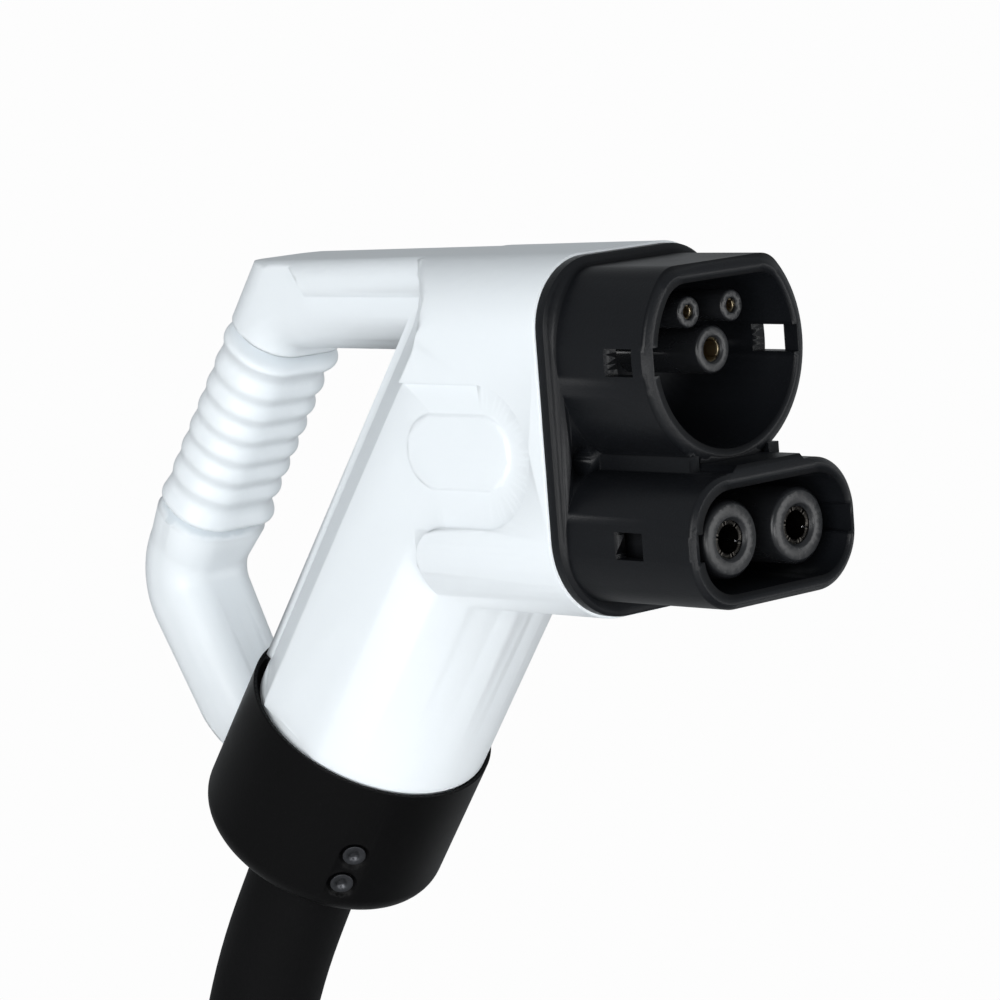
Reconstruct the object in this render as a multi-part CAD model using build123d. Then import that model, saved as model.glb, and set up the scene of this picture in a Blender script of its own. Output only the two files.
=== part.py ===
from build123d import *
import math
import os

# Combined AC/DC charging plug with a D-shaped rear handle and its charging cable.
# Millimetres. X is to the right when the contact face is looked at, Y runs backwards into
# the plug (the plug mates along -Y) and Z is up. The origin is the mouth of the earth socket.

# ---------------------------------------------------------------- driving dimensions

# contact face
POWER_PITCH = 27.0            # between the two power sockets
POWER_DROP = 50.0             # power sockets below the earth socket
SIGNAL_PITCH = 17.05          # between the two signal sockets
SIGNAL_RISE = 11.25           # signal sockets above the earth socket
POWER_PIN = 8.0               # pin diameters of the inlet
EARTH_PIN = 6.0
SIGNAL_PIN = 3.0
PIN_CLEARANCE = 0.05          # radial, in each contact

# front housing
FLANGE_FRONT = 27.5           # front of the flange behind the earth socket's mouth
FLANGE_THICKNESS = 4.0
FLANGE_INSET = 0.7            # flange edge inside the shell's edge
UPPER_SHROUD_RADIUS = 32.1
UPPER_SHROUD_WALL = 5.0
UPPER_SHROUD_FLAT = 24.8      # height of its flat top above the earth socket
UPPER_SHROUD_DEPTH = 34.0     # rim in front of the flange
UPPER_SHROUD_CORNER = 9.0     # rounding beside the flat top
LOWER_SHROUD_WIDTH = 66.0
LOWER_SHROUD_HEIGHT = 37.0
LOWER_SHROUD_CORNER = 16.0
LOWER_SHROUD_WALL = 4.2
LOWER_SHROUD_DEPTH = 47.7
SHROUD_FLOOR = 2.0            # floors of both shrouds behind the flange's front
RIM_BEVEL = 2.8               # bevel across the front of the upper rim
RIM_BEVEL_DEPTH = 1.4
WINDOW_HEIGHT = 7.6           # latch windows in the shroud sides
WINDOW_LENGTH = 10.6
UPPER_WINDOW_SETBACK = 5.1    # from the upper rim back to its windows
LOWER_WINDOW_SETBACK = 18.8
GROOVE_DEPTH = 1.6            # lead-in grooves from the rims to the windows
RIB_BETWEEN = 4.0             # ribs that tie the shrouds together
RIB_SPACING = 32.0
FLANGE_SCREW_PITCH = 50.6
FLANGE_SCREW_DROP = 28.4
FLANGE_SCREW_HOLE = 3.65
FLANGE_SCREW = 2.2            # radius of the screws behind the flange
FLANGE_SCREW_REACH = 25.0     # how far they run behind the flange's front

# insulating tubes around the contacts
TUBE_LIP = 1.5                # plastic lip in front of a contact's mouth
SIGNAL_TUBE = 8.9
EARTH_TUBE = 13.4
POWER_TUBE = 21.6
POWER_REACH = 14.9            # power tubes stand out past the earth tube
FLOOR_PLATE = 3.2

# shell
SHELL_WIDTH = 72.0
SHELL_TOP = 28.4
SHELL_BOTTOM = -74.5
SHELL_TOP_RADIUS = 20.5
SHELL_BOTTOM_RADIUS = 25.0
SHELL_WALL = 4.2
TOP_FALL = 1.0                # degrees that the top falls towards the rear
NOSE_REAR = 60.5              # rear of the low nose, behind the flange's front
NOSE_TOP = -47.5
SHOULDER_REAR = 50.0          # rear of the head's shoulder at its side face
SHOULDER_ROUND = 11.0
PANEL_WIDTH = 68.4            # across the sunk side panels
PANEL_TOP = -6.4
PANEL_NOSE = 9.6              # front of the sunk panel, behind the flange's front
BADGE_LENGTH = 42.0           # raised blank badge on the side panel
BADGE_HEIGHT = 21.5
BADGE_RAISE = 0.8
SPINE_WIDTH = 36.0            # width of the spine, the rail and the D-handle
RAMP_FOOT = 40.0              # width at the rear foot of the ramps
RAMP_RUN = 15.8               # how far the ramps fall back

# neck
NECK_TILT = 36.3              # degrees from vertical
NECK_OFFSET = 32.9            # axis from the corner point, square to the axis
NECK_RADIUS = 36.4
NECK_WALL = 3.6
PANEL_FRONT = 21.0            # edges of the side panel, square to the neck
PANEL_REAR = 45.0
SPINE_REAR = 65.0
NECK_END = 162.6              # end of the full neck, along the axis
SLEEVE_END = 204.0            # end of the sleeve inside the collar

# handle
GRIP_OFFSET = 121.3           # grip axis, square to the neck
GRIP_DEPTH = 26.0
HANDLE_ROUND = 12.0
RAIL_BOTTOM = -0.8
RAIL_BOSS_BOTTOM = 15.8       # lower edge of the raised panel on the rail
RAIL_BOSS_REAR = 122.0
RAIL_BOSS_RAISE = 2.0
BEND_CORNER = 178.0           # where the grip's axis meets the leg's, along the neck
BEND_RADIUS = 17.0
BEND_ANGLE = 65.3
BEND_WIDTH = 32.0
BEND_DEPTH = 25.0
LEG_WIDTH = 28.0
LEG_DEPTH = 22.0
GROOVE_COUNT = 9
GROOVE_PITCH = 8.0
GROOVE_START = 88.5           # first groove, along the neck
RIB_RAISE = 1.3

# tail collar
COLLAR_TOP = 162.9
COLLAR_LENGTH = 50.0
COLLAR_RADIUS = 37.8
COLLAR_WALL = 3.0
COLLAR_LIP = 1.1              # wall at the thinned upper rim
COLLAR_EDGE = 8.0             # rounding of its lower edge
COLLAR_SCREW_PITCH = 11.2
COLLAR_SCREW_TOP = 25.3       # upper screw below the collar's rim
COLLAR_SCREW_ANGLE = 34.0     # degrees around from the front

# cable
CABLE_DIAMETER = 34.0
POWER_CORE = 13.0
EARTH_CORE = 8.6
SIGNAL_CORE = 2.6
CABLE_START = 152.0           # jacket end inside the neck, along the axis
COIL_RADIUS = 182.0           # middle of the turns
COIL_RINGS = 2
COIL_LAYERS = 2
TAIL_LENGTH = 60.0
BOOT_LENGTH = 70.0
TAIL_CORE_LENGTH = 95.0

# fits between pieces
SEAT = 0.1                    # between a moulded seat and what lies in it
RUN = 0.3                     # between neighbours that only lie beside each other

GASKET = 1.6                  # width and depth of the flange gasket
RETAINER_SCREW_PITCH = 24.0
RETAINER_SCREW_Z = -31.0
CARRIER_PLATE = 5.0           # thickness of the carriers' plates
CONTACT_COLLAR = 2.5          # thickness of the contacts' stop collars
CAVITY_BACK = 1.5             # cavity axis in front of the neck axis, square to it
CAVITY_TRIM = 2.0             # extra wall beyond the neck's own, all round the cavity

# ---------------------------------------------------------------- derived places

flange_back = FLANGE_FRONT + FLANGE_THICKNESS
upper_rim = FLANGE_FRONT - UPPER_SHROUD_DEPTH
lower_rim = FLANGE_FRONT - LOWER_SHROUD_DEPTH
floor_y = FLANGE_FRONT + SHROUD_FLOOR
plate_back = floor_y + FLOOR_PLATE
CARRIER_BACK = plate_back + CARRIER_PLATE
CONTACT_STOP = CARRIER_BACK + CONTACT_COLLAR
lower_top = -POWER_DROP + LOWER_SHROUD_HEIGHT / 2
power_x = POWER_PITCH / 2
signal_x = SIGNAL_PITCH / 2
screw_x = FLANGE_SCREW_PITCH / 2
screw_end = FLANGE_FRONT + FLANGE_SCREW_REACH
cable_r = CABLE_DIAMETER / 2
collar_end = COLLAR_TOP + COLLAR_LENGTH

tilt = math.radians(NECK_TILT)
NORMAL = Vector(0, math.cos(tilt), math.sin(tilt))     # square to the neck, to the rear
ALONG = Vector(0, math.sin(tilt), -math.cos(tilt))     # down along the neck
CORNER = Vector(0, FLANGE_FRONT, 0)                    # on the flange's front, at earth height


def on_neck(offset, along, x=0.0):
    """Point given by its offset square to the neck and its distance along it."""
    return CORNER + NORMAL * offset + ALONG * along + Vector(x, 0, 0)


def slab(y0, y1, sketch):
    """Extrude an (x, z) sketch from y0 back to y1."""
    plane = Plane((0, y1, 0), x_dir=(1, 0, 0), z_dir=(0, -1, 0))
    return extrude(plane * sketch, amount=y1 - y0)


def rod(x, z, radius, y0, y1):
    """Round bar or bore along Y."""
    return slab(y0, y1, Pos(x, z) * Circle(radius))


def between(y0, sketch0, y1, sketch1):
    """Straight loft from one (x, z) sketch to another further back."""
    front = Plane((0, y0, 0), x_dir=(1, 0, 0), z_dir=(0, -1, 0)) * sketch0
    back = Plane((0, y1, 0), x_dir=(1, 0, 0), z_dir=(0, -1, 0)) * sketch1
    return loft([front.face(), back.face()], ruled=True)


def neck_rod(offset, x, radius, s0, s1):
    """Round bar or bore along the neck's direction."""
    plane = Plane(on_neck(offset, s0, x), x_dir=(1, 0, 0), z_dir=ALONG)
    return extrude(plane * Circle(radius), amount=s1 - s0)


def neck_slab(s0, s1, sketch):
    """Extrude an (x, offset) sketch along the neck from s0 to s1."""
    plane = Plane(on_neck(0, s1), x_dir=(1, 0, 0), z_dir=-ALONG)
    return extrude(plane * sketch, amount=s1 - s0)


def side_face(points):
    """Face from (distance behind the flange's front, z) points."""
    return make_face(Polyline(*points, close=True))


def across(face, half):
    """Extrude a side face to both sides of the middle plane."""
    plane = Plane((0, FLANGE_FRONT, 0), x_dir=(0, 1, 0), z_dir=(1, 0, 0))
    return extrude(plane * face, amount=half, both=True)


def corners_at(face, *places):
    """Vertices of a face nearest to the given places."""
    return [face.vertices().sort_by_distance(Vector(*place, 0))[0] for place in places]


def cross_rod(y, z, radius, x0, x1):
    """Round bar or bore along X."""
    plane = Plane((x0, y, z), x_dir=(0, 1, 0), z_dir=(1, 0, 0))
    return extrude(plane * Circle(radius), amount=x1 - x0)


def upright(inset, fall=0.0):
    """Outline of the head seen from the front, drawn in by an inset."""
    half = SHELL_WIDTH / 2 - inset
    top = SHELL_TOP - inset - fall
    bottom = SHELL_BOTTOM + inset
    face = make_face(Polyline((-half, bottom), (half, bottom), (half, top), (-half, top), close=True))
    face = fillet(face.vertices().sort_by(Axis.Y)[:2], SHELL_BOTTOM_RADIUS - inset)
    return fillet(face.vertices().sort_by(Axis.Y)[-2:], SHELL_TOP_RADIUS - inset)


def export(part, node):
    """Write one sub-part."""
    part.label = node
    export_step(part, f"parts/{node}.step")


os.makedirs("parts", exist_ok=True)

# ---------------------------------------------------------------- front housing
# One black moulding: flange, round upper shroud, wide lower shroud and the skirt that
# enters the shell. The carriers for the contacts are let into its floor from behind.


def upper_outline(inset):
    """Type 2 outline: a circle with a flat, rounded top."""
    radius = UPPER_SHROUD_RADIUS - inset
    flat = UPPER_SHROUD_FLAT - inset
    face = Circle(radius) & (Pos(0, flat - 2 * radius) * Rectangle(4 * radius, 4 * radius))
    return fillet(face.vertices().sort_by(Axis.Y)[-2:], UPPER_SHROUD_CORNER)


def lower_outline(inset):
    """Rounded rectangle around the two power sockets."""
    width = LOWER_SHROUD_WIDTH - 2 * inset
    height = LOWER_SHROUD_HEIGHT - 2 * inset
    return Pos(0, -POWER_DROP) * RectangleRounded(width, height, LOWER_SHROUD_CORNER - inset)


def make_front_housing():
    flange = slab(FLANGE_FRONT, flange_back, upright(FLANGE_INSET))
    body = chamfer(flange.faces().sort_by(Axis.Y)[0].edges(), 1.0)
    bevel_back = upper_rim + RIM_BEVEL_DEPTH
    body += between(upper_rim, upper_outline(RIM_BEVEL), bevel_back, upper_outline(0))
    body += slab(bevel_back, FLANGE_FRONT + 1, upper_outline(0))
    lower_bevel = lower_rim + RIM_BEVEL_DEPTH
    body += between(lower_rim, lower_outline(RIM_BEVEL / 2), lower_bevel, lower_outline(0))
    body += slab(lower_bevel, FLANGE_FRONT + 1, lower_outline(0))

    # ribs between the shrouds and the pad under the upper rim
    for side in (-1, 1):
        rib = Pos(side * RIB_SPACING / 2, lower_top) * Rectangle(RIB_BETWEEN, 2 * RIB_BETWEEN)
        body += slab(upper_rim, FLANGE_FRONT + 1, rib)
    pad = make_face(Polyline((-15, lower_top - 1), (15, lower_top - 1), (12.5, lower_top + 1.7),
                             (-12.5, lower_top + 1.7), close=True))
    body += slab(lower_rim + 1.0, upper_rim + 6, pad)

    # skirt with its hollow, behind the flange
    skirt = slab(flange_back, flange_back + 9, upright(SHELL_WALL + RUN))
    body += skirt - slab(plate_back, flange_back + 10, upright(SHELL_WALL + RUN + 2.4))

    # open cavities, latch windows and the grooves that lead to them
    body -= slab(upper_rim - 1, floor_y, upper_outline(UPPER_SHROUD_WALL))
    body -= slab(lower_rim - 1, floor_y, lower_outline(LOWER_SHROUD_WALL))
    for rim, setback, drop, half, wall in (
            (upper_rim, UPPER_WINDOW_SETBACK, 0, UPPER_SHROUD_RADIUS, UPPER_SHROUD_WALL),
            (lower_rim, LOWER_WINDOW_SETBACK, POWER_DROP, LOWER_SHROUD_WIDTH / 2, LOWER_SHROUD_WALL)):
        start = rim + setback
        window = Pos(0, -drop) * Rectangle(2 * half + 4, WINDOW_HEIGHT)
        groove = Pos(0, -drop) * Rectangle(2 * (half - wall + GROOVE_DEPTH), WINDOW_HEIGHT)
        body -= slab(start, start + WINDOW_LENGTH, window)
        body -= slab(rim - 1, start + 1, groove)

    # groove for the gasket, and bosses for the retainer's screws
    body -= slab(flange_back - GASKET, flange_back + 0.01, upright(2.0) - upright(2.0 + GASKET))
    for side in (-1, 1):
        x = side * RETAINER_SCREW_PITCH / 2
        body += rod(x, RETAINER_SCREW_Z, 3.5, plate_back - 1, CONTACT_STOP)
        body -= rod(x, RETAINER_SCREW_Z, 1.5, plate_back, CONTACT_STOP + 1)

    # holes for the contacts' tubes, and the screw tubes
    body -= rod(0, 0, EARTH_TUBE / 2 + SEAT, FLANGE_FRONT - 1, plate_back + 1)
    for side in (-1, 1):
        body -= rod(side * signal_x, SIGNAL_RISE, SIGNAL_TUBE / 2 + SEAT, FLANGE_FRONT - 1, plate_back + 1)
        body -= rod(side * power_x, -POWER_DROP, POWER_TUBE / 2 + SEAT, FLANGE_FRONT - 1, plate_back + 1)
        body += rod(side * screw_x, -FLANGE_SCREW_DROP, FLANGE_SCREW_HOLE + 2, flange_back, flange_back + 9)
        body -= rod(side * screw_x, -FLANGE_SCREW_DROP, FLANGE_SCREW_HOLE, FLANGE_FRONT - 1, flange_back + 6)
        body -= rod(side * screw_x, -FLANGE_SCREW_DROP, FLANGE_SCREW + SEAT, flange_back, flange_back + 10)
    return body


housing = make_front_housing()
export(housing, "front_housing")

# ---------------------------------------------------------------- contact carriers
# Two black mouldings, each a plate behind the housing's floor with the insulating tubes
# that stand in the shrouds. The contacts are pushed in from behind.

TUBE_FRONT = -TUBE_LIP


def socket_tube(x, z, diameter, reach, bevel, mouth, seat):
    """Insulating tube with a bevelled front, an entry hole and a seat for its contact."""
    front = TUBE_FRONT - reach
    circle = Pos(x, z) * Circle(diameter / 2)
    tube = between(front, Pos(x, z) * Circle(diameter / 2 - bevel), front + bevel, circle)
    tube += slab(front + bevel, CARRIER_BACK, circle)
    lead = mouth * 0.18
    tube -= between(front, Pos(x, z) * Circle(mouth), front + lead, Pos(x, z) * Circle(mouth - lead))
    tube -= rod(x, z, mouth - lead, front - 0.5, -reach)
    tube -= rod(x, z, seat, -reach, CARRIER_BACK + 1)
    return tube


EARTH_SEAT = 4.8
SIGNAL_SEAT = 2.7
POWER_SEAT = 7.0

upper_plate = slab(plate_back, CARRIER_BACK, upper_outline(UPPER_SHROUD_WALL + 1))
lower_plate = slab(plate_back, CARRIER_BACK, lower_outline(LOWER_SHROUD_WALL + 1))
upper_carrier = upper_plate + socket_tube(0, 0, EARTH_TUBE, 0, 0.8, 4.1, EARTH_SEAT)
upper_carrier -= rod(0, 0, EARTH_SEAT, 0, CARRIER_BACK + 1)
lower_carrier = lower_plate
for side in (-1, 1):
    upper_carrier += socket_tube(side * signal_x, SIGNAL_RISE, SIGNAL_TUBE, 0, 0.6, 2.4, SIGNAL_SEAT)
    upper_carrier -= rod(side * signal_x, SIGNAL_RISE, SIGNAL_SEAT, 0, CARRIER_BACK + 1)
    lower_carrier += socket_tube(side * power_x, -POWER_DROP, POWER_TUBE, POWER_REACH, 1.4, 6.4, POWER_SEAT)
    lower_carrier -= rod(side * power_x, -POWER_DROP, POWER_SEAT, -POWER_REACH, CARRIER_BACK + 1)
export(upper_carrier, "upper_contact_carrier")
export(lower_carrier, "lower_contact_carrier")

# ---------------------------------------------------------------- contacts
# Turned sockets with slotted fingers in front, a collar that stops against the carrier
# and a crimp barrel behind. A spring ring closes the fingers of the large ones.


def make_contact(x, z, pin, outer, depth, front, barrel, slots):
    """Turned socket contact along Y."""
    bore = pin / 2 + PIN_CLEARANCE
    back = CARRIER_BACK + 2
    contact = rod(x, z, outer, front, back)
    contact += rod(x, z, outer + 0.9, CARRIER_BACK, CONTACT_STOP)
    contact += rod(x, z, barrel, CARRIER_BACK + 2, CARRIER_BACK + 14)
    contact -= rod(x, z, bore, front - 1, front + depth)
    for index in range(slots):
        cut = Pos(x, z) * Rot(0, 0, 180 * index / slots + 45) * Rectangle(4 * outer, 0.5)
        contact -= slab(front - 1, front + depth * 0.55, cut)
    return contact


BARREL_END = CARRIER_BACK + 14
earth = make_contact(0, 0, EARTH_PIN, EARTH_SEAT - SEAT, 24, 0, EARTH_CORE / 2, 2)
export(earth, "earth_contact")
for name, side in (("pilot_contact", -1), ("proximity_contact", 1)):
    contact = make_contact(side * signal_x, SIGNAL_RISE, SIGNAL_PIN, SIGNAL_SEAT - SEAT, 18, 0, 1.6, 1)
    export(contact, name)
for name, side in (("dc_minus_contact", -1), ("dc_plus_contact", 1)):
    contact = make_contact(side * power_x, -POWER_DROP, POWER_PIN, POWER_SEAT - 1.0, 30, -POWER_REACH,
                           POWER_CORE / 2, 3)
    spring = rod(side * power_x, -POWER_DROP, POWER_SEAT - SEAT, -POWER_REACH + 3, -POWER_REACH + 6)
    spring -= rod(side * power_x, -POWER_DROP, POWER_SEAT - 1.0, -POWER_REACH + 2, -POWER_REACH + 7)
    export(contact, name)
    export(spring, name.replace("contact", "spring_ring"))

# ---------------------------------------------------------------- shell
# White shell in two halves that meet in the middle plane: the deep head with its sunk side
# panels, the round neck, the rail on top and the ribbed D-handle behind.


def line_point(offset, z):
    """Side-view point at a height on a line that runs parallel to the neck."""
    return ((offset - z * math.sin(tilt)) / math.cos(tilt), z)


def slant(offset, along):
    """Side-view point from neck coordinates."""
    point = on_neck(offset, along)
    return (point.Y - FLANGE_FRONT, point.Z)


TOP_END = 160.0
top_fall = math.tan(math.radians(TOP_FALL)) * TOP_END
panel_half = PANEL_WIDTH / 2
spine_half = SPINE_WIDTH / 2
foot_half = RAMP_FOOT / 2
ramp_rear = PANEL_REAR + RAMP_RUN
bend_z = (PANEL_REAR - SHOULDER_REAR * math.cos(tilt)) / math.sin(tilt)
foot_rear = SHOULDER_REAR + RAMP_RUN
foot_bend_z = (ramp_rear - foot_rear * math.cos(tilt)) / math.sin(tilt)
handle_front = GRIP_OFFSET - GRIP_DEPTH / 2
handle_back = GRIP_OFFSET + GRIP_DEPTH / 2
panel_middle = (PANEL_TOP + NOSE_TOP) / 2
panel_round = (PANEL_TOP - NOSE_TOP) / 2


def head_limits(inset):
    """Bar with the head's cross-section whose top falls to the rear."""
    return between(flange_back, upright(inset), FLANGE_FRONT + TOP_END, upright(inset, top_fall))


def make_head():
    core = side_face([(FLANGE_THICKNESS, SHELL_BOTTOM), (NOSE_REAR, SHELL_BOTTOM), (NOSE_REAR, NOSE_TOP),
                      line_point(PANEL_REAR, NOSE_TOP), (SHOULDER_REAR, bend_z),
                      (SHOULDER_REAR, SHELL_TOP + 1), (FLANGE_THICKNESS, SHELL_TOP + 1)])
    core = fillet(corners_at(core, (SHOULDER_REAR, bend_z)), SHELL_BOTTOM_RADIUS)
    core = fillet(corners_at(core, (SHOULDER_REAR, SHELL_TOP + 1)), SHOULDER_ROUND)
    panel_start = PANEL_NOSE + panel_round
    panel = Pos(panel_start, panel_middle) * Circle(panel_round)
    panel += Pos(panel_start + TOP_END / 2, panel_middle) * Rectangle(TOP_END, 2 * panel_round)
    skin = core - panel
    nose_corner = corners_at(skin, (NOSE_REAR, NOSE_TOP))
    skin = fillet(nose_corner, 13.0)
    head = across(core, panel_half) + across(skin, SHELL_WIDTH / 2 + 1)

    # ramps from the shoulders down to the spine
    inner = [(20, PANEL_TOP), line_point(ramp_rear, PANEL_TOP), (foot_rear, foot_bend_z),
             (foot_rear, SHELL_TOP + 1), (20, SHELL_TOP + 1)]
    outer = [(20, PANEL_TOP), line_point(PANEL_REAR, PANEL_TOP), (SHOULDER_REAR, bend_z),
             (SHOULDER_REAR, SHELL_TOP + 1), (20, SHELL_TOP + 1)]
    inner_face = fillet(corners_at(side_face(inner), inner[2]), SHELL_BOTTOM_RADIUS)
    outer_face = fillet(corners_at(side_face(outer), outer[2]), SHELL_BOTTOM_RADIUS)
    inner_face = fillet(corners_at(inner_face, inner[3]), SHOULDER_ROUND * 0.7)
    outer_face = fillet(corners_at(outer_face, outer[3]), SHOULDER_ROUND)
    for side in (-1, 1):
        low = Plane((side * foot_half, FLANGE_FRONT, 0), x_dir=(0, 1, 0), z_dir=(1, 0, 0)) * inner_face
        high = Plane((side * panel_half, FLANGE_FRONT, 0), x_dir=(0, 1, 0), z_dir=(1, 0, 0)) * outer_face
        head += loft([low.face(), high.face()], ruled=True)
    head += across(side_face(inner), foot_half)
    return head & head_limits(0)


def make_neck():
    round_part = Pos(0, NECK_OFFSET) * Circle(NECK_RADIUS)
    round_part &= Pos(0, PANEL_REAR - NECK_RADIUS) * Rectangle(PANEL_WIDTH, 2 * NECK_RADIUS)
    rear = make_face(Polyline((-panel_half, NECK_OFFSET), (-panel_half, PANEL_REAR), (-foot_half, ramp_rear),
                              (-spine_half, ramp_rear), (-spine_half, SPINE_REAR), (spine_half, SPINE_REAR),
                              (spine_half, ramp_rear), (foot_half, ramp_rear), (panel_half, PANEL_REAR),
                              (panel_half, NECK_OFFSET), close=True))
    neck = neck_slab(25, NECK_END, round_part + rear)
    sleeve = Pos(0, NECK_OFFSET) * Circle(COLLAR_RADIUS - COLLAR_WALL - SEAT)
    return neck + neck_slab(NECK_END - 1, SLEEVE_END, sleeve)


def grip_section(along, groove):
    """Section of the grip; a groove is deepest in front and runs out at the back."""
    width = SPINE_WIDTH - 2 * groove
    depth = GRIP_DEPTH - groove
    plane = Plane(on_neck(GRIP_OFFSET + groove / 2, along), x_dir=(1, 0, 0), z_dir=-ALONG)
    return plane * RectangleRounded(width, depth, HANDLE_ROUND - groove / 2)


def bend_axis(arc):
    """Axis through the middle of an arc of the handle's centre line, across the plug."""
    return Axis(arc.arc_center, (-1, 0, 0))


GROOVE_END = GROOVE_START + (GROOVE_COUNT - 1) * GROOVE_PITCH
RIBS_START = GROOVE_START - GROOVE_PITCH / 2
RIBS_END = GROOVE_END + GROOVE_PITCH / 2
FOOT_DIRECTION = (-math.sin(math.radians(BEND_ANGLE)), math.cos(math.radians(BEND_ANGLE)))


def make_handle():
    # rail and upper grip
    profile = side_face([(30, SHELL_TOP + 9), line_point(handle_back, SHELL_TOP + 9), slant(handle_back, RIBS_START),
                         slant(handle_front, RIBS_START), line_point(handle_front, RAIL_BOTTOM),
                         (30, RAIL_BOTTOM)])
    inner_corner = line_point(handle_front, RAIL_BOTTOM)
    profile = fillet(corners_at(profile, inner_corner), 7.0)
    handle = across(profile, spine_half)
    sides = [edge for edge in handle.edges() if abs(abs(edge.center().X) - spine_half) < 0.01]
    soft = []
    for edge in sides:
        middle = edge.center()
        flat = middle.Z > SHELL_TOP + 8 or middle.Y < FLANGE_FRONT + 31
        end = abs((middle - CORNER).dot(ALONG) - RIBS_START) < 0.5
        if not flat and not end:
            soft.append(edge)
    handle = fillet(soft, HANDLE_ROUND)

    # raised panels on the rail
    boss = side_face([(45, RAIL_BOSS_BOTTOM), (RAIL_BOSS_REAR - 4, RAIL_BOSS_BOTTOM),
                      (RAIL_BOSS_REAR + 5, SHELL_TOP), (RAIL_BOSS_REAR + 5, SHELL_TOP + 9), (45, SHELL_TOP + 9)])
    boss = across(boss, spine_half + RAIL_BOSS_RAISE)
    flanks = boss.faces().filter_by(Axis.X)
    boss = chamfer(flanks.edges(), 1.8)
    handle += boss
    limit = RectangleRounded(RAMP_FOOT, 60, 6.5)
    limit = between(flange_back, Pos(0, SHELL_TOP - 30) * limit,
                    FLANGE_FRONT + TOP_END, Pos(0, SHELL_TOP - top_fall - 30) * limit)
    handle &= limit

    # ribbed grip
    sections = [grip_section(RIBS_START, 0)]
    for index in range(GROOVE_COUNT):
        valley = GROOVE_START + index * GROOVE_PITCH
        sections.append(grip_section(valley, RIB_RAISE))
        sections.append(grip_section(valley + GROOVE_PITCH / 2, 0))
    handle += loft([section.face() for section in sections])

    # bend and leg down to the collar
    bend = FilletPolyline(on_neck(GRIP_OFFSET, RIBS_END), on_neck(GRIP_OFFSET, BEND_CORNER),
                          on_neck(GRIP_OFFSET + FOOT_DIRECTION[0] * 60, BEND_CORNER + FOOT_DIRECTION[1] * 60),
                          radius=BEND_RADIUS)
    taper, arc, foot = bend.edges()
    turned = Plane(arc @ 1, x_dir=(1, 0, 0), z_dir=arc % 1)
    bend_start = Plane(arc @ 0, x_dir=(1, 0, 0), z_dir=ALONG)
    foot_end = Plane(foot @ 1, x_dir=(1, 0, 0), z_dir=foot % 1)
    grip_end = Plane(taper @ 0, x_dir=(1, 0, 0), z_dir=ALONG)
    bend_shape = RectangleRounded(BEND_WIDTH, BEND_DEPTH, HANDLE_ROUND - 1)
    leg = loft([(grip_end * RectangleRounded(SPINE_WIDTH, GRIP_DEPTH, HANDLE_ROUND)).face(),
                (bend_start * bend_shape).face()], ruled=True)
    leg += revolve(bend_start * bend_shape, axis=bend_axis(arc), revolution_arc=BEND_ANGLE)
    leg += loft([(turned * bend_shape).face(), (foot_end * RectangleRounded(LEG_WIDTH, LEG_DEPTH, 9)).face()],
                ruled=True)
    leg -= neck_slab(SLEEVE_END, SLEEVE_END + 60, Pos(0, 60) * Rectangle(80, 90))
    return handle + leg



cavity_offset = NECK_OFFSET - CAVITY_BACK
cavity_radius = NECK_RADIUS - NECK_WALL - CAVITY_TRIM


def make_hollow():
    """Space inside the shell."""
    hollow = slab(flange_back - 1, FLANGE_FRONT + SHOULDER_REAR - SHELL_WALL, upright(SHELL_WALL))
    low = upright(SHELL_WALL) & (Pos(0, SHELL_BOTTOM) * Rectangle(2 * SHELL_WIDTH, 120))
    hollow += slab(flange_back - 1, FLANGE_FRONT + NOSE_REAR - SHELL_WALL, low)
    hollow += neck_slab(26, SLEEVE_END + 1, Pos(0, cavity_offset) * Circle(cavity_radius))
    return hollow


# shell screws from the right side: distance behind the flange's front, height, seat depth
# and how far the boss reaches to the left
shell_screws = [(38, 18.5, 24.0, 26.0), (40, -66.0, 14.0, 20.0), (112, 12.0, 11.0, 14.0),
                (*slant(118, 172), 9.0, 12.0)]
SPLIT_ROOM = 900
HEAD_RADIUS = 3.6
HEAD_HEIGHT = 3.0
SCREW_RADIUS = 1.8
BOSS_RADIUS = 4.6

outside = make_head() + make_neck() + make_handle()
badge = Pos(PANEL_NOSE + 30, panel_middle + 1) * SlotOverall(BADGE_LENGTH, BADGE_HEIGHT)
badge = across(badge, panel_half + BADGE_RAISE)
outside += chamfer(badge.faces().filter_by(Axis.X).edges(), BADGE_RAISE * 0.9)
shell = outside - make_hollow()
for side in (-1, 1):
    boss = rod(side * screw_x, -FLANGE_SCREW_DROP, FLANGE_SCREW_HOLE + 3, flange_back + 9, screw_end + 3)
    shell += boss
    shell -= rod(side * screw_x, -FLANGE_SCREW_DROP, FLANGE_SCREW + SEAT, flange_back + 8, screw_end + 1)
for y, z, seat, reach in shell_screws:
    shell += cross_rod(y + FLANGE_FRONT, z, BOSS_RADIUS, -reach, seat)

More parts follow.
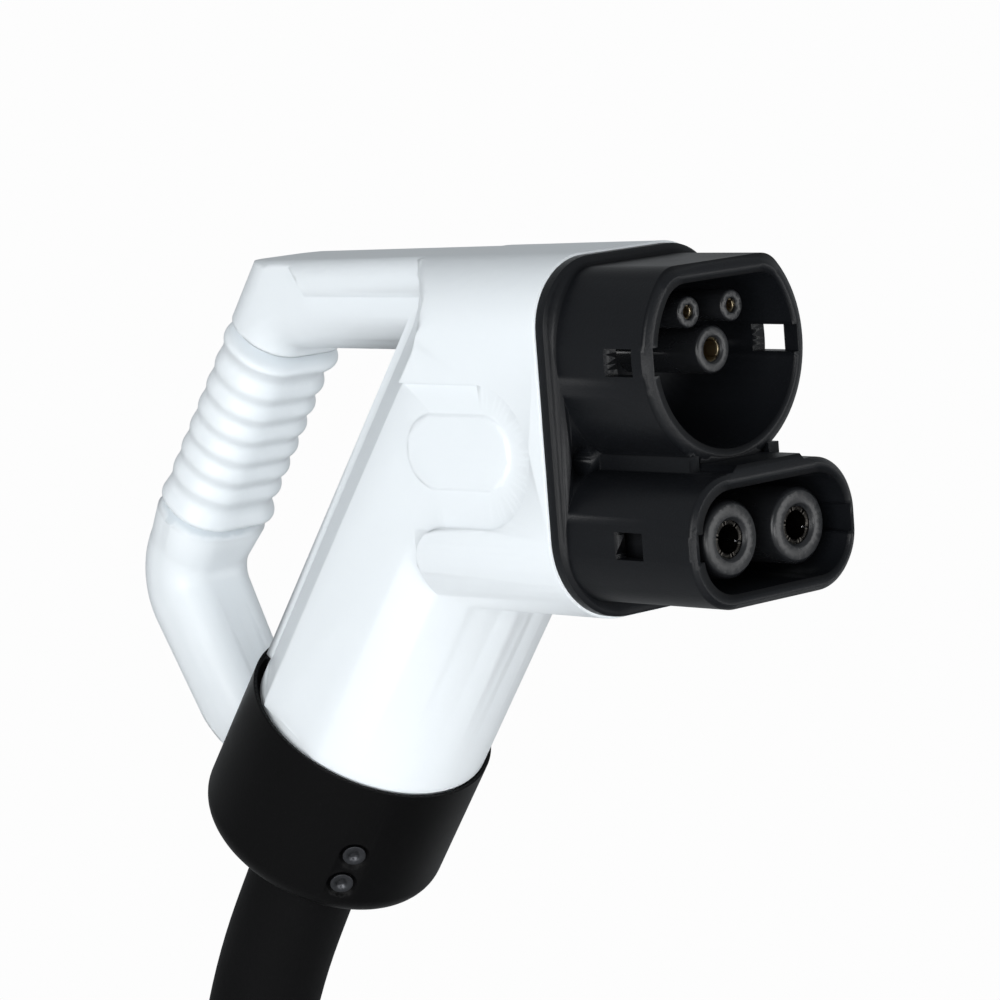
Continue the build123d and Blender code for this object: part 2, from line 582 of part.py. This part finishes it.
left_space = Pos(-SPLIT_ROOM / 2, 0, 0) * Box(SPLIT_ROOM, SPLIT_ROOM, SPLIT_ROOM)
right_space = Pos(SPLIT_ROOM / 2, 0, 0) * Box(SPLIT_ROOM, SPLIT_ROOM, SPLIT_ROOM)
shell_left = shell & left_space
shell_right = shell & right_space
screws = []
for y, z, seat, reach in shell_screws:
    place = y + FLANGE_FRONT
    shell_left -= cross_rod(place, z, SCREW_RADIUS, -reach + 4, 1)
    shell_right -= cross_rod(place, z, SCREW_RADIUS + SEAT, -1, seat + 1)
    shell_right -= cross_rod(place, z, HEAD_RADIUS + 0.3, seat, SHELL_WIDTH)
    screw = cross_rod(place, z, HEAD_RADIUS, seat, seat + HEAD_HEIGHT)
    screw += cross_rod(place, z, SCREW_RADIUS, -reach + 5, seat)
    screws.append(screw - cross_rod(place, z, 1.6, seat + 1.2, seat + HEAD_HEIGHT + 1))

# room for the screws that hold the collar
axis_front = -NORMAL
around = Vector(-math.sin(math.radians(COLLAR_SCREW_ANGLE)), 0, 0)
around += axis_front * math.cos(math.radians(COLLAR_SCREW_ANGLE))


def radial_rod(along, radius, r0, r1):
    """Round bar or bore square to the neck's axis, towards the collar's screws."""
    plane = Plane(on_neck(NECK_OFFSET, along) + around * r0, z_dir=around)
    return extrude(plane * Circle(radius), amount=r1 - r0)


collar_screw_places = [COLLAR_TOP + COLLAR_SCREW_TOP + index * COLLAR_SCREW_PITCH for index in range(2)]
for along in collar_screw_places:
    shell_left -= radial_rod(along, SCREW_RADIUS, 28, COLLAR_RADIUS + 5)
export(shell_left, "shell_left")
export(shell_right, "shell_right")
export(Compound(children=screws), "shell_screws")

# ---------------------------------------------------------------- flange screws and gasket

flange_screws = []
for side in (-1, 1):
    seat = flange_back + 6
    screw = rod(side * screw_x, -FLANGE_SCREW_DROP, FLANGE_SCREW_HOLE - 0.25, seat - 3, seat)
    screw += rod(side * screw_x, -FLANGE_SCREW_DROP, FLANGE_SCREW, seat - 1, screw_end)
    flange_screws.append(screw - rod(side * screw_x, -FLANGE_SCREW_DROP, 1.6, seat - 4, seat - 1.2))
export(Compound(children=flange_screws), "flange_screws")
gasket = slab(flange_back - GASKET, flange_back, upright(2.0 + SEAT) - upright(2.0 + GASKET - SEAT))
export(gasket, "flange_gasket")

# ---------------------------------------------------------------- contact retainer

retainer = slab(CONTACT_STOP, CONTACT_STOP + 3, Pos(0, -22.5) * RectangleRounded(44, 78, 5))
retainer -= rod(0, 0, EARTH_CORE / 2 + RUN, CONTACT_STOP - 1, CONTACT_STOP + 4)
retainer_screws = []
for side in (-1, 1):
    retainer -= rod(side * signal_x, SIGNAL_RISE, 1.6 + RUN, CONTACT_STOP - 1, CONTACT_STOP + 4)
    retainer -= rod(side * power_x, -POWER_DROP, POWER_CORE / 2 + RUN, CONTACT_STOP - 1, CONTACT_STOP + 4)
    boss_room = FLANGE_SCREW_HOLE + 3 + RUN
    retainer -= rod(side * screw_x, -FLANGE_SCREW_DROP, boss_room, CONTACT_STOP - 1, CONTACT_STOP + 4)
    x = side * RETAINER_SCREW_PITCH / 2
    retainer -= rod(x, RETAINER_SCREW_Z, 1.5 + SEAT, CONTACT_STOP - 1, CONTACT_STOP + 4)
    screw = rod(x, RETAINER_SCREW_Z, 1.5, plate_back, CONTACT_STOP + 3)
    retainer_screws.append(screw + rod(x, RETAINER_SCREW_Z, 3.0, CONTACT_STOP + 3, CONTACT_STOP + 5))
export(retainer, "contact_retainer")
export(Compound(children=retainer_screws), "retainer_screws")

# ---------------------------------------------------------------- cores inside the plug
# From the crimp barrels, round into the neck, to the end of the cable's jacket.


def inner_core(points, radii, diameter):
    """Round core along straight runs joined by arcs."""
    path = FilletPolyline(*points, radius=radii)
    start = Plane(path @ 0, z_dir=path % 0)
    return sweep(start * Circle(diameter / 2), path=path)


for name, side in (("dc_minus_core", -1), ("dc_plus_core", 1)):
    route = [Vector(side * power_x, BARREL_END, -POWER_DROP),
             Vector(side * power_x, FLANGE_FRONT + 47, -POWER_DROP),
             on_neck(17, 105, side * 13), on_neck(26.5, 135, side * 7.2), on_neck(26.5, CABLE_START, side * 7.2)]
    export(inner_core(route, [22, 30, 30], POWER_CORE), name)
route = [Vector(0, BARREL_END, 0), Vector(0, FLANGE_FRONT + 37, 0), on_neck(39, 60), on_neck(39, CABLE_START)]
export(inner_core(route, [16, 30], EARTH_CORE), "earth_core")
for name, side in (("pilot_wire", -1), ("proximity_wire", 1)):
    route = [Vector(side * signal_x, BARREL_END, SIGNAL_RISE),
             Vector(side * signal_x, FLANGE_FRONT + 31, SIGNAL_RISE),
             on_neck(38, 50, side * 12), on_neck(38, 130, side * 9), on_neck(38, CABLE_START, side * 9)]
    export(inner_core(route, [6, 8, 10], SIGNAL_CORE), name)

# ---------------------------------------------------------------- cable clamp and seal

CLAMP_TOP = 172.0
CLAMP_END = 182.0
clamp = neck_slab(CLAMP_TOP, CLAMP_END, Pos(0, cavity_offset) * Circle(cavity_radius - RUN))
clamp -= neck_slab(CLAMP_TOP - 1, CLAMP_END + 1, Pos(0, NECK_OFFSET) * Circle(cable_r + SEAT))
clamp_gap = Pos(0, NECK_OFFSET) * Rectangle(4 * NECK_RADIUS, 1.0)
clamp -= neck_slab(CLAMP_TOP - 1, CLAMP_END + 1, clamp_gap)
front_clamp, rear_clamp = sorted(clamp.solids(), key=lambda solid: solid.center().dot(NORMAL))
clamp_screws = []
for side in (-1, 1):
    middle = on_neck(NECK_OFFSET, (CLAMP_TOP + CLAMP_END) / 2, side * 23.5)
    plane = Plane(middle - NORMAL * 12, z_dir=NORMAL)
    hole = extrude(plane * Circle(1.6 + SEAT), amount=22)
    front_clamp -= hole
    rear_clamp -= hole
    recess = Plane(middle + NORMAL * 7, z_dir=NORMAL)
    rear_clamp -= extrude(recess * Circle(3.2 + RUN), amount=30)
    screw = extrude(Plane(middle - NORMAL * 10, z_dir=NORMAL) * Circle(1.6), amount=17)
    clamp_screws.append(screw + extrude(recess * Circle(3.2), amount=2.2))
export(Part() + front_clamp, "clamp_front")
export(Part() + rear_clamp, "clamp_rear")
export(Compound(children=clamp_screws), "clamp_screws")
collar_floor = SLEEVE_END + RUN
seal = neck_slab(collar_floor - 4, collar_floor, Pos(0, NECK_OFFSET) * (Circle(cable_r + 6) - Circle(cable_r + 0.6)))
export(seal, "gland_seal")

# ---------------------------------------------------------------- tail collar
# Black cup pushed over the sleeve. Its rear is notched for the foot of the D-handle.

collar = neck_slab(COLLAR_TOP, collar_end, Pos(0, NECK_OFFSET) * Circle(COLLAR_RADIUS))
lower_edge = collar.edges().sort_by(lambda edge: edge.center().dot(ALONG))[-1]
collar = fillet(lower_edge, COLLAR_EDGE)
collar -= neck_slab(COLLAR_TOP - 1, collar_floor, Pos(0, NECK_OFFSET) * Circle(COLLAR_RADIUS - COLLAR_WALL))
collar -= neck_slab(COLLAR_TOP - 1, COLLAR_TOP + 3, Pos(0, NECK_OFFSET) * Circle(COLLAR_RADIUS - COLLAR_LIP))
collar -= neck_slab(collar_floor - 1, collar_end + 1, Pos(0, NECK_OFFSET) * Circle(cable_r + 1.2))
notch_radius = LEG_WIDTH / 2 + RUN
notch = Rectangle(2 * notch_radius, 40)
cut = neck_slab(COLLAR_TOP - 1, collar_floor, Pos(0, NECK_OFFSET + COLLAR_RADIUS) * notch)
collar -= cut
collar_screws = []
for along in collar_screw_places:
    collar -= radial_rod(along, 4.6, COLLAR_RADIUS - 1.6, COLLAR_RADIUS + 5)
    collar -= radial_rod(along, SCREW_RADIUS + SEAT, 30, COLLAR_RADIUS)
    screw = radial_rod(along, 3.4, COLLAR_RADIUS - 1.6, COLLAR_RADIUS - 0.2)
    screw += radial_rod(along, SCREW_RADIUS, 32, COLLAR_RADIUS - 1.6)
    collar_screws.append(screw - radial_rod(along, 1.4, COLLAR_RADIUS - 0.9, COLLAR_RADIUS + 1))
export(collar, "tail_collar")
export(Compound(children=collar_screws), "collar_screws")

# ---------------------------------------------------------------- cable
# Leaves the collar, hangs down, turns forward onto the surface below and ends in a coil.

route = [on_neck(NECK_OFFSET, CABLE_START), on_neck(NECK_OFFSET, collar_end - 1)]
headings = [32.1, 11.75, -8.6, -28.95, -49.3, -69.65, -90.0]
runs = [72.0, 70.0, 70.0, 70.0, 70.0, 70.0, 70.0]
for heading, run in zip(headings, runs):
    turn = math.radians(heading)
    route.append(route[-1] + Vector(0, math.sin(turn), -math.cos(turn)) * run)


def corner_radii(points):
    """Radius at each corner: as large as the two runs beside it allow."""
    radii = []
    for before, here, after in zip(points, points[1:], points[2:]):
        turn = math.radians((here - before).get_angle(after - here))
        run = min((here - before).length, (after - here).length)
        radii.append(0.45 * run / math.tan(turn / 2))
    return radii


radii = corner_radii(route)
print("cable radii", [round(radius) for radius in radii])
cable_path = FilletPolyline(*route, radius=radii)
cable = sweep(Plane(cable_path @ 0, z_dir=cable_path % 0) * Circle(cable_r), path=cable_path)
print("cable length", round(cable_path.length, 1))
export(cable, "charging_cable")

landing = route[-1]
floor = landing.Z - cable_r
outer_turn = COIL_RADIUS + CABLE_DIAMETER * (COIL_RINGS - 1) / 2
inner_turn = outer_turn - CABLE_DIAMETER * (COIL_RINGS - 1)
COIL_LEAD_IN = 120.0
coil_y = landing.Y - COIL_LEAD_IN
coil_height = CABLE_DIAMETER * COIL_LAYERS
coil_ring = Circle(outer_turn + cable_r) - Circle(inner_turn - cable_r)
coil = extrude(Plane((outer_turn, coil_y, floor)) * coil_ring, amount=coil_height)
coil += slab(coil_y + 30, landing.Y, Pos(0, landing.Z) * Rectangle(CABLE_DIAMETER, CABLE_DIAMETER))
top_turn = inner_turn - cable_r
tail_x = outer_turn + top_turn
tail_z = floor + coil_height + cable_r
STUB = 20.0
coil += slab(coil_y - STUB, coil_y + STUB, Pos(tail_x, tail_z) * Rectangle(CABLE_DIAMETER, CABLE_DIAMETER))
export(coil, "cable_coil")

tail_start = coil_y + STUB
boot_start = tail_start + TAIL_LENGTH
boot_end = boot_start + BOOT_LENGTH
export(rod(tail_x, tail_z, cable_r, tail_start, boot_start), "cable_tail")
boot = between(boot_start, Pos(tail_x, tail_z) * Circle(cable_r), boot_end, Pos(tail_x, tail_z) * Circle(14))
export(boot, "breakout_boot")
lug_cores = []
lugs = []
for dx, dz, diameter in ((-6.8, 2.5, POWER_CORE), (6.8, 2.5, POWER_CORE), (0, -8.6, EARTH_CORE)):
    core_end = boot_end + 14
    lug_cores.append(rod(tail_x + dx, tail_z + dz, diameter / 2 - SEAT, boot_end, core_end))
    lug = rod(tail_x + dx, tail_z + dz, diameter / 2 - 0.6, core_end, core_end + 12)
    plate = Pos(tail_x + dx, core_end + 19, tail_z + dz) * Box(diameter - 1.2, 20, 2.4)
    lug += plate
    lug -= Pos(tail_x + dx, core_end + 22, tail_z + dz) * Cylinder(diameter * 0.3, 10)
    lugs.append(lug)
export(Compound(children=lug_cores), "tail_cores")
export(Compound(children=lugs), "ring_lugs")
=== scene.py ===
import math

import bmesh
import bpy
from mathutils import Matrix, Vector


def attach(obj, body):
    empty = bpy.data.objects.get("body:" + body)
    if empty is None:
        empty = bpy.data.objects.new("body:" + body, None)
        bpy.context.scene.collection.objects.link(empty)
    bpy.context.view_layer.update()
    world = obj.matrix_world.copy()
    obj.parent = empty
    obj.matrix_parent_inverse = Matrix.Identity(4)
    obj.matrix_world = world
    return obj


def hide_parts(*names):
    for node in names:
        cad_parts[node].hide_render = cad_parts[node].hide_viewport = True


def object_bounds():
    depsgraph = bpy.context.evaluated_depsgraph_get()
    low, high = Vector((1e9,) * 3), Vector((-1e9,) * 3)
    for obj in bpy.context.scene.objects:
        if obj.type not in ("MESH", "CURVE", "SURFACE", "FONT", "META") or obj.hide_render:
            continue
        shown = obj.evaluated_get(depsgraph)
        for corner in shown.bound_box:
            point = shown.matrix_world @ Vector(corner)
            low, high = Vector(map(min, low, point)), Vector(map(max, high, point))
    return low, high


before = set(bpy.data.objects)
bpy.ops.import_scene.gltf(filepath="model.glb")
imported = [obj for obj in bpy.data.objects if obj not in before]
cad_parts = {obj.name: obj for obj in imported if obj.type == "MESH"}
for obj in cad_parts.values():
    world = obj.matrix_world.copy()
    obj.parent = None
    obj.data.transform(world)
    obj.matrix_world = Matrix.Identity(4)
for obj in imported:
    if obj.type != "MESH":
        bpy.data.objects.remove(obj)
cad_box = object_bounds()


# ---- camera
# Stands to the left of the contact face, a little above it, turned slightly about its view.
turn = math.radians(-43.371)
lift = math.radians(7.105)
roll = math.radians(-4.413)
camera_place = (-0.91842, -0.8842, 0.1217)
back = Vector((math.sin(turn) * math.cos(lift), -math.cos(turn) * math.cos(lift), math.sin(lift)))
level_right = Vector((math.cos(turn), math.sin(turn), 0))
level_up = back.cross(level_right)
right = level_right * math.cos(roll) + level_up * math.sin(roll)
up = level_up * math.cos(roll) - level_right * math.sin(roll)
camera_data = bpy.data.cameras.new("camera")
camera_data.lens = 168.05
camera_data.sensor_width = 36.0
camera_data.clip_start = 0.05
camera = bpy.data.objects.new("camera", camera_data)
camera.matrix_world = Matrix.Translation(camera_place) @ Matrix((right, up, back)).transposed().to_4x4()
bpy.context.collection.objects.link(camera)
bpy.context.scene.camera = camera
bpy.context.scene.view_settings.view_transform = "Standard"


# ---- charging cable
# Copper cores in a thick, matt rubber jacket. It leaves the collar along the neck, hangs forward
# down to the surface below and is wound into a flat coil of two layers, with its stripped end on top.
cable_diameter = 0.034
neck_tilt = math.radians(36.3)
neck_back = Vector((0, math.cos(neck_tilt), math.sin(neck_tilt)))
neck_down = Vector((0, math.sin(neck_tilt), -math.cos(neck_tilt)))
neck_start = Vector((0, 0.0275, 0)) + neck_back * 0.0329
cable_start = 0.152    # along the neck
hang_start = 0.2119
first_heading = 32.1    # degrees forward of straight down
heading_step = 20.35
hang_runs = (0.072, 0.07, 0.07, 0.07, 0.07, 0.07, 0.07)
route = [neck_start + neck_down * cable_start, neck_start + neck_down * hang_start]
for index, run in enumerate(hang_runs):
    heading = math.radians(first_heading - heading_step * index)
    route.append(route[-1] + Vector((0, math.sin(heading), -math.cos(heading))) * run)

outer_turn = 0.199
inner_turn = 0.165
top_turn = 0.148
coil_turns = 3.5
lead_in = 0.12
coil_centre = Vector((outer_turn, route[-1].y - lead_in, route[-1].z))
points_per_turn = 18
hug = (6 + 2 * math.cos(math.tau / points_per_turn)) / 8    # how far a spline cuts inside its points


def moved(wound, start, span):
    """How much of a smooth move that starts at a turn and takes a part of one is done, 0 to 1."""
    value = min(max((wound - start) / span, 0.0), 1.0)
    return value * value * (3 - 2 * value)


for index in range(int(coil_turns * points_per_turn) + 1):
    wound = index / points_per_turn
    inward = moved(wound, 0.9, 0.15)
    first_climb = moved(wound, 1.9, 0.15)
    outward = moved(wound, 2.9, 0.12)
    second_climb = moved(wound, 3.22, 0.2)
    radius = outer_turn + (inner_turn - outer_turn) * (inward - outward)
    radius += (top_turn - outer_turn) * second_climb
    angle = math.pi + math.tau * wound
    circle = Vector((math.cos(angle), math.sin(angle), 0)) * radius / hug
    route.append(coil_centre + circle + Vector((0, 0, cable_diameter * (first_climb + second_climb))))
tail = coil_centre + Vector((top_turn, 0, 2 * cable_diameter))
for along in (0.03, 0.08):
    route.append(tail + Vector((0, along, 0)))

cable_curve = bpy.data.curves.new("charging_cable_jacket", "CURVE")
cable_curve.dimensions = "3D"
spline = cable_curve.splines.new("NURBS")
spline.points.add(len(route) - 1)
for point, place in zip(spline.points, route):
    point.co = (*place, 1.0)
    point.radius = cable_diameter / 2
spline.order_u = 3
spline.use_endpoint_u = True
spline.resolution_u = 12
cable_curve.bevel_depth = 1.0    # times each point's radius
cable_curve.bevel_resolution = 12
cable_curve.use_fill_caps = True
cable = bpy.data.objects.new("charging_cable_jacket", cable_curve)
bpy.context.collection.objects.link(cable)
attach(cable, "root")
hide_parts("charging_cable", "cable_coil", "cable_tail")


def new_group(name, inputs, output):
    """Empty shader group with named sockets; returns it with its input and output nodes."""
    group = bpy.data.node_groups.new(name, "ShaderNodeTree")
    for label, value in inputs.items():
        socket = group.interface.new_socket(label, in_out="INPUT", socket_type="NodeSocketFloat")
        socket.default_value = value
    label, kind = output
    group.interface.new_socket(label, in_out="OUTPUT", socket_type=kind)
    return group, group.nodes.new("NodeGroupInput"), group.nodes.new("NodeGroupOutput")


def make_mould_grain():
    """Fine spark-eroded grain of a mould with softened edges, as a normal."""
    sockets = {"Scale": 1500.0, "Depth": 0.15, "Edge": 0.0006}
    group, enter, leave = new_group("mould_grain", sockets, ("Normal", "NodeSocketVector"))
    nodes, links = group.nodes, group.links
    place = nodes.new("ShaderNodeTexCoord")
    noise = nodes.new("ShaderNodeTexNoise")
    noise.inputs["Detail"].default_value = 3.0
    links.new(place.outputs["Object"], noise.inputs["Vector"])
    links.new(enter.outputs["Scale"], noise.inputs["Scale"])
    edge = nodes.new("ShaderNodeBevel")
    edge.samples = 6
    links.new(enter.outputs["Edge"], edge.inputs["Radius"])
    bump = nodes.new("ShaderNodeBump")
    bump.inputs["Distance"].default_value = 0.0002
    links.new(enter.outputs["Depth"], bump.inputs["Strength"])
    links.new(noise.outputs["Fac"], bump.inputs["Height"])
    links.new(edge.outputs["Normal"], bump.inputs["Normal"])
    links.new(bump.outputs["Normal"], leave.inputs["Normal"])
    return group


def make_soft_patches():
    """Broad soft variation between two limits, for the roughness of handled surfaces."""
    sockets = {"Scale": 25.0, "Low": 0.3, "High": 0.4}
    group, enter, leave = new_group("soft_patches", sockets, ("Value", "NodeSocketFloat"))
    nodes, links = group.nodes, group.links
    place = nodes.new("ShaderNodeTexCoord")
    noise = nodes.new("ShaderNodeTexNoise")
    noise.inputs["Detail"].default_value = 4.0
    links.new(place.outputs["Object"], noise.inputs["Vector"])
    links.new(enter.outputs["Scale"], noise.inputs["Scale"])
    span = nodes.new("ShaderNodeMapRange")
    span.inputs["From Min"].default_value = 0.3
    span.inputs["From Max"].default_value = 0.7
    links.new(noise.outputs["Fac"], span.inputs["Value"])
    links.new(enter.outputs["Low"], span.inputs["To Min"])
    links.new(enter.outputs["High"], span.inputs["To Max"])
    links.new(span.outputs["Result"], leave.inputs["Value"])
    return group


mould_grain = make_mould_grain()
soft_patches = make_soft_patches()


def finish(name, color, rough, grain, depth, edge=0.0003, specular=0.5, metallic=0.0):
    """Material with its own grain, softened edges and patchy roughness between two limits."""
    material = bpy.data.materials.new(name)
    material.use_nodes = True
    nodes, links = material.node_tree.nodes, material.node_tree.links
    shader = nodes["Principled BSDF"]
    shader.inputs["Base Color"].default_value = (*color, 1)
    shader.inputs["Specular IOR Level"].default_value = specular
    shader.inputs["Metallic"].default_value = metallic
    surface = nodes.new("ShaderNodeGroup")
    surface.node_tree = mould_grain
    surface.inputs["Scale"].default_value = grain
    surface.inputs["Depth"].default_value = depth
    surface.inputs["Edge"].default_value = edge
    links.new(surface.outputs["Normal"], shader.inputs["Normal"])
    patches = nodes.new("ShaderNodeGroup")
    patches.node_tree = soft_patches
    patches.inputs["Low"].default_value, patches.inputs["High"].default_value = rough
    links.new(patches.outputs["Value"], shader.inputs["Roughness"])
    return material


cable_rubber = finish("cable_rubber", (0.0035, 0.0035, 0.0038), rough=(0.55, 0.7), grain=900, depth=0.25,
                      edge=0.0004, specular=0.08)
cable_curve.materials.append(cable_rubber)


# ---- white shell
# Two injection-moulded halves in satin white polycarbonate, screwed together in the middle plane.
# They are drawn as one skin with no line where they meet, shaded smooth but for its real edges.
def smooth_skin(name, nodes, material):
    """Merged copy of the nodes' meshes, smooth but for its real edges, that stands for them."""
    form = bmesh.new()
    for node in nodes:
        form.from_mesh(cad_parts[node].data)
    bmesh.ops.remove_doubles(form, verts=form.verts, dist=0.00001)
    if len(nodes) > 1:
        mated = [face for face in form.faces if all(abs(vert.co.x) < 0.00002 for vert in face.verts)]
        bmesh.ops.delete(form, geom=mated, context="FACES")
    mesh = bpy.data.meshes.new(name)
    form.to_mesh(mesh)
    form.free()
    mesh.materials.append(material)
    for polygon in mesh.polygons:
        polygon.use_smooth = abs(polygon.normal.y) < 0.9999
    mesh.set_sharp_from_angle(angle=math.radians(28))
    skin = bpy.data.objects.new(name, mesh)
    bpy.context.collection.objects.link(skin)
    weigh = skin.modifiers.new("face weights", "WEIGHTED_NORMAL")
    weigh.keep_sharp = True
    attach(skin, "root")
    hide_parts(*nodes)


white_plastic = finish("white_shell", (0.84, 0.885, 0.915), rough=(0.32, 0.4), grain=1100, depth=0.08,
                       edge=0.0011, specular=0.45)
light_inside = white_plastic.node_tree.nodes["Principled BSDF"].inputs
light_inside["Subsurface Weight"].default_value = 0.06
light_inside["Subsurface Radius"].default_value = (0.003, 0.003, 0.003)
smooth_skin("white_shell_skin", ("shell_left", "shell_right"), white_plastic)


# ---- front housing
# One black moulding in glass-filled nylon: the flange on the shell's mouth and both shrouds that
# guide the plug into the inlet. Its grain shows as a satin surface.
black_nylon = finish("black_housing", (0.0055, 0.0062, 0.0076), rough=(0.3, 0.42), grain=1700, depth=0.3,
                     edge=0.00025, specular=0.2)
smooth_skin("front_housing_skin", ("front_housing",), black_nylon)


# ---- contact carriers, retainer and cable clamp
# Smoother black mouldings: the carriers' insulating tubes stand in the shrouds, the retainer holds
# the contacts from behind, and the clamp's two halves hold the cable.
def paint(material, *nodes):
    """Gives these nodes' solids the material of their slot."""
    for node in nodes:
        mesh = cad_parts[node].data
        mesh.materials.clear()
        mesh.materials.append(material)


carrier_plastic = finish("black_carrier", (0.0095, 0.0102, 0.0115), rough=(0.24, 0.34), grain=1400,
                         depth=0.12, edge=0.0004, specular=0.35)
for node in ("upper_contact_carrier", "lower_contact_carrier"):
    smooth_skin(node + "_skin", (node,), carrier_plastic)
paint(carrier_plastic, "contact_retainer", "clamp_front", "clamp_rear")


# ---- contacts
# Turned brass sockets, slotted so that they spring onto the inlet's pins. The two power contacts,
# below the others, are painted dark as the shade deep in their bores, and have a bright steel ring behind
# their fingers.
def make_contact_brass():
    """Turned brass with painted shade: dark below the upper shroud."""
    material = finish("contact_brass", (0.52, 0.43, 0.28), rough=(0.25, 0.38), grain=2500, depth=0.1,
                      edge=0.0002, metallic=1.0)
    nodes, links = material.node_tree.nodes, material.node_tree.links
    place = nodes.new("ShaderNodeTexCoord")
    height = nodes.new("ShaderNodeSeparateXYZ")
    links.new(place.outputs["Object"], height.inputs["Vector"])
    # Painted shade: contacts lower than z -0.04 are coloured near black, fading to brass by -0.02, for the
    # shade inside the lower shroud's deep bores.
    painted_shade_ramp = nodes.new("ShaderNodeMapRange")
    painted_shade_ramp.inputs["From Min"].default_value = -0.04
    painted_shade_ramp.inputs["From Max"].default_value = -0.02
    links.new(height.outputs["Z"], painted_shade_ramp.inputs["Value"])
    tone = nodes.new("ShaderNodeMix")
    tone.data_type = "RGBA"
    tone.inputs["A"].default_value = (0.045, 0.042, 0.038, 1)
    tone.inputs["B"].default_value = (0.52, 0.43, 0.28, 1)
    links.new(painted_shade_ramp.outputs["Result"], tone.inputs["Factor"])
    links.new(tone.outputs["Result"], nodes["Principled BSDF"].inputs["Base Color"])
    return material


contact_brass = make_contact_brass()
for node in ("earth_contact", "pilot_contact", "proximity_contact", "dc_plus_contact", "dc_minus_contact"):
    smooth_skin(node + "_skin", (node,), contact_brass)
spring_steel = finish("spring_steel", (0.65, 0.66, 0.68), rough=(0.15, 0.25), grain=1500, depth=0.05,
                      metallic=1.0)
paint(spring_steel, "dc_plus_spring_ring", "dc_minus_spring_ring")


# ---- tail collar
# Satin black cup pushed over the neck's end, that covers the clamp and the cable's seal.
collar_plastic = finish("black_collar", (0.003, 0.003, 0.0032), rough=(0.36, 0.46), grain=1500, depth=0.2,
                        edge=0.0007, specular=0.07)
smooth_skin("tail_collar_skin", ("tail_collar",), collar_plastic)


# ---- screws
# Plated steel machine screws, sunk in the flange, the collar, the shell, the retainer and the clamp. Their
# colour is painted dark for the shade of the recesses they sit in.
screw_steel = finish("screw_steel", (0.07, 0.072, 0.078), rough=(0.3, 0.45), grain=1500, depth=0.1,
                     metallic=1.0)
for node in ("flange_screws", "collar_screws"):
    smooth_skin(node + "_skin", (node,), screw_steel)
paint(screw_steel, "shell_screws", "retainer_screws", "clamp_screws")


# ---- seals
# Soft black rubber: the gasket behind the flange, the seal round the cable and the boot on its end.
seal_rubber = finish("seal_rubber", (0.015, 0.015, 0.016), rough=(0.6, 0.75), grain=1200, depth=0.3)
paint(seal_rubber, "flange_gasket", "gland_seal", "breakout_boot")


# ---- cores
# Insulated copper cores from the contacts to the cable, and those that leave its boot with lugs
# of tinned copper pressed on them.
core_colors = {
    "core_red": ((0.45, 0.03, 0.02), ("dc_plus_core",)),
    "core_black": ((0.015, 0.015, 0.015), ("dc_minus_core",)),
    "core_green": ((0.09, 0.32, 0.05), ("earth_core",)),
    "core_grey": ((0.3, 0.3, 0.32), ("pilot_wire", "proximity_wire", "tail_cores")),
}
for slot, (color, cores) in core_colors.items():
    paint(finish(slot, color, rough=(0.4, 0.5), grain=900, depth=0.1), *cores)
lug_tin = finish("lug_tin", (0.6, 0.6, 0.61), rough=(0.25, 0.35), grain=900, depth=0.1, metallic=1.0)
paint(lug_tin, "ring_lugs")


# ---- studio
# White room: the camera sees pure white behind the object, and soft boxes light it from the left,
# the front and the right.
floor_height = cad_box[0][2]
floor_reach = 12.0
corners = [(-floor_reach, -floor_reach), (floor_reach, -floor_reach), (floor_reach, floor_reach),
           (-floor_reach, floor_reach)]
floor_mesh = bpy.data.meshes.new("floor")
floor_mesh.from_pydata([(*corner, floor_height) for corner in corners], [], [(0, 1, 2, 3)])
floor = bpy.data.objects.new("floor", floor_mesh)
bpy.context.collection.objects.link(floor)
studio_white = (0.982, 0.982, 0.982, 1)


def show_camera(tree, output, seen, otherwise):
    """Feeds an output's surface: one shader for what the camera sees, another for all other rays."""
    rays = tree.nodes.new("ShaderNodeLightPath")
    pick = tree.nodes.new("ShaderNodeMixShader")
    tree.links.new(rays.outputs["Is Camera Ray"], pick.inputs["Fac"])
    tree.links.new(otherwise.outputs[0], pick.inputs[1])
    tree.links.new(seen.outputs[0], pick.inputs[2])
    tree.links.new(pick.outputs["Shader"], tree.nodes[output].inputs["Surface"])


floor_material = bpy.data.materials.new("studio_floor")
floor_material.use_nodes = True
tree = floor_material.node_tree
glow = tree.nodes.new("ShaderNodeEmission")
glow.inputs["Color"].default_value = studio_white
matt = tree.nodes["Principled BSDF"]
matt.inputs["Base Color"].default_value = (0.8, 0.8, 0.8, 1)
matt.inputs["Roughness"].default_value = 0.8
show_camera(tree, "Material Output", glow, matt)
floor_mesh.materials.append(floor_material)

world = bpy.data.worlds.new("studio")
bpy.context.scene.world = world
world.use_nodes = True
tree = world.node_tree
backdrop = tree.nodes["Background"]
backdrop.inputs["Color"].default_value = studio_white
room = tree.nodes.new("ShaderNodeBackground")
room.inputs["Color"].default_value = (0.93, 0.97, 1.0, 1)
room.inputs["Strength"].default_value = 0.4
show_camera(tree, "World Output", backdrop, room)


def soft_box(name, place, side, power):
    """Square soft box aimed at the plug's head."""
    light = bpy.data.lights.new(name, "AREA")
    light.shape = "RECTANGLE"
    light.size = light.size_y = side
    light.energy = power
    lamp = bpy.data.objects.new(name, light)
    aim = Vector((0, 0.08, -0.05)) - Vector(place)
    lamp.matrix_world = Matrix.Translation(place) @ aim.to_track_quat("-Z", "Y").to_matrix().to_4x4()
    bpy.context.collection.objects.link(lamp)


soft_box("left_box", (-1.5, -0.75, 0.1), side=1.1, power=20)
soft_box("front_box", (-0.35, -1.5, -0.6), side=1.0, power=20)
soft_box("right_box", (0.75, -1.35, -0.25), side=0.9, power=9)

bpy.context.view_layer.update()
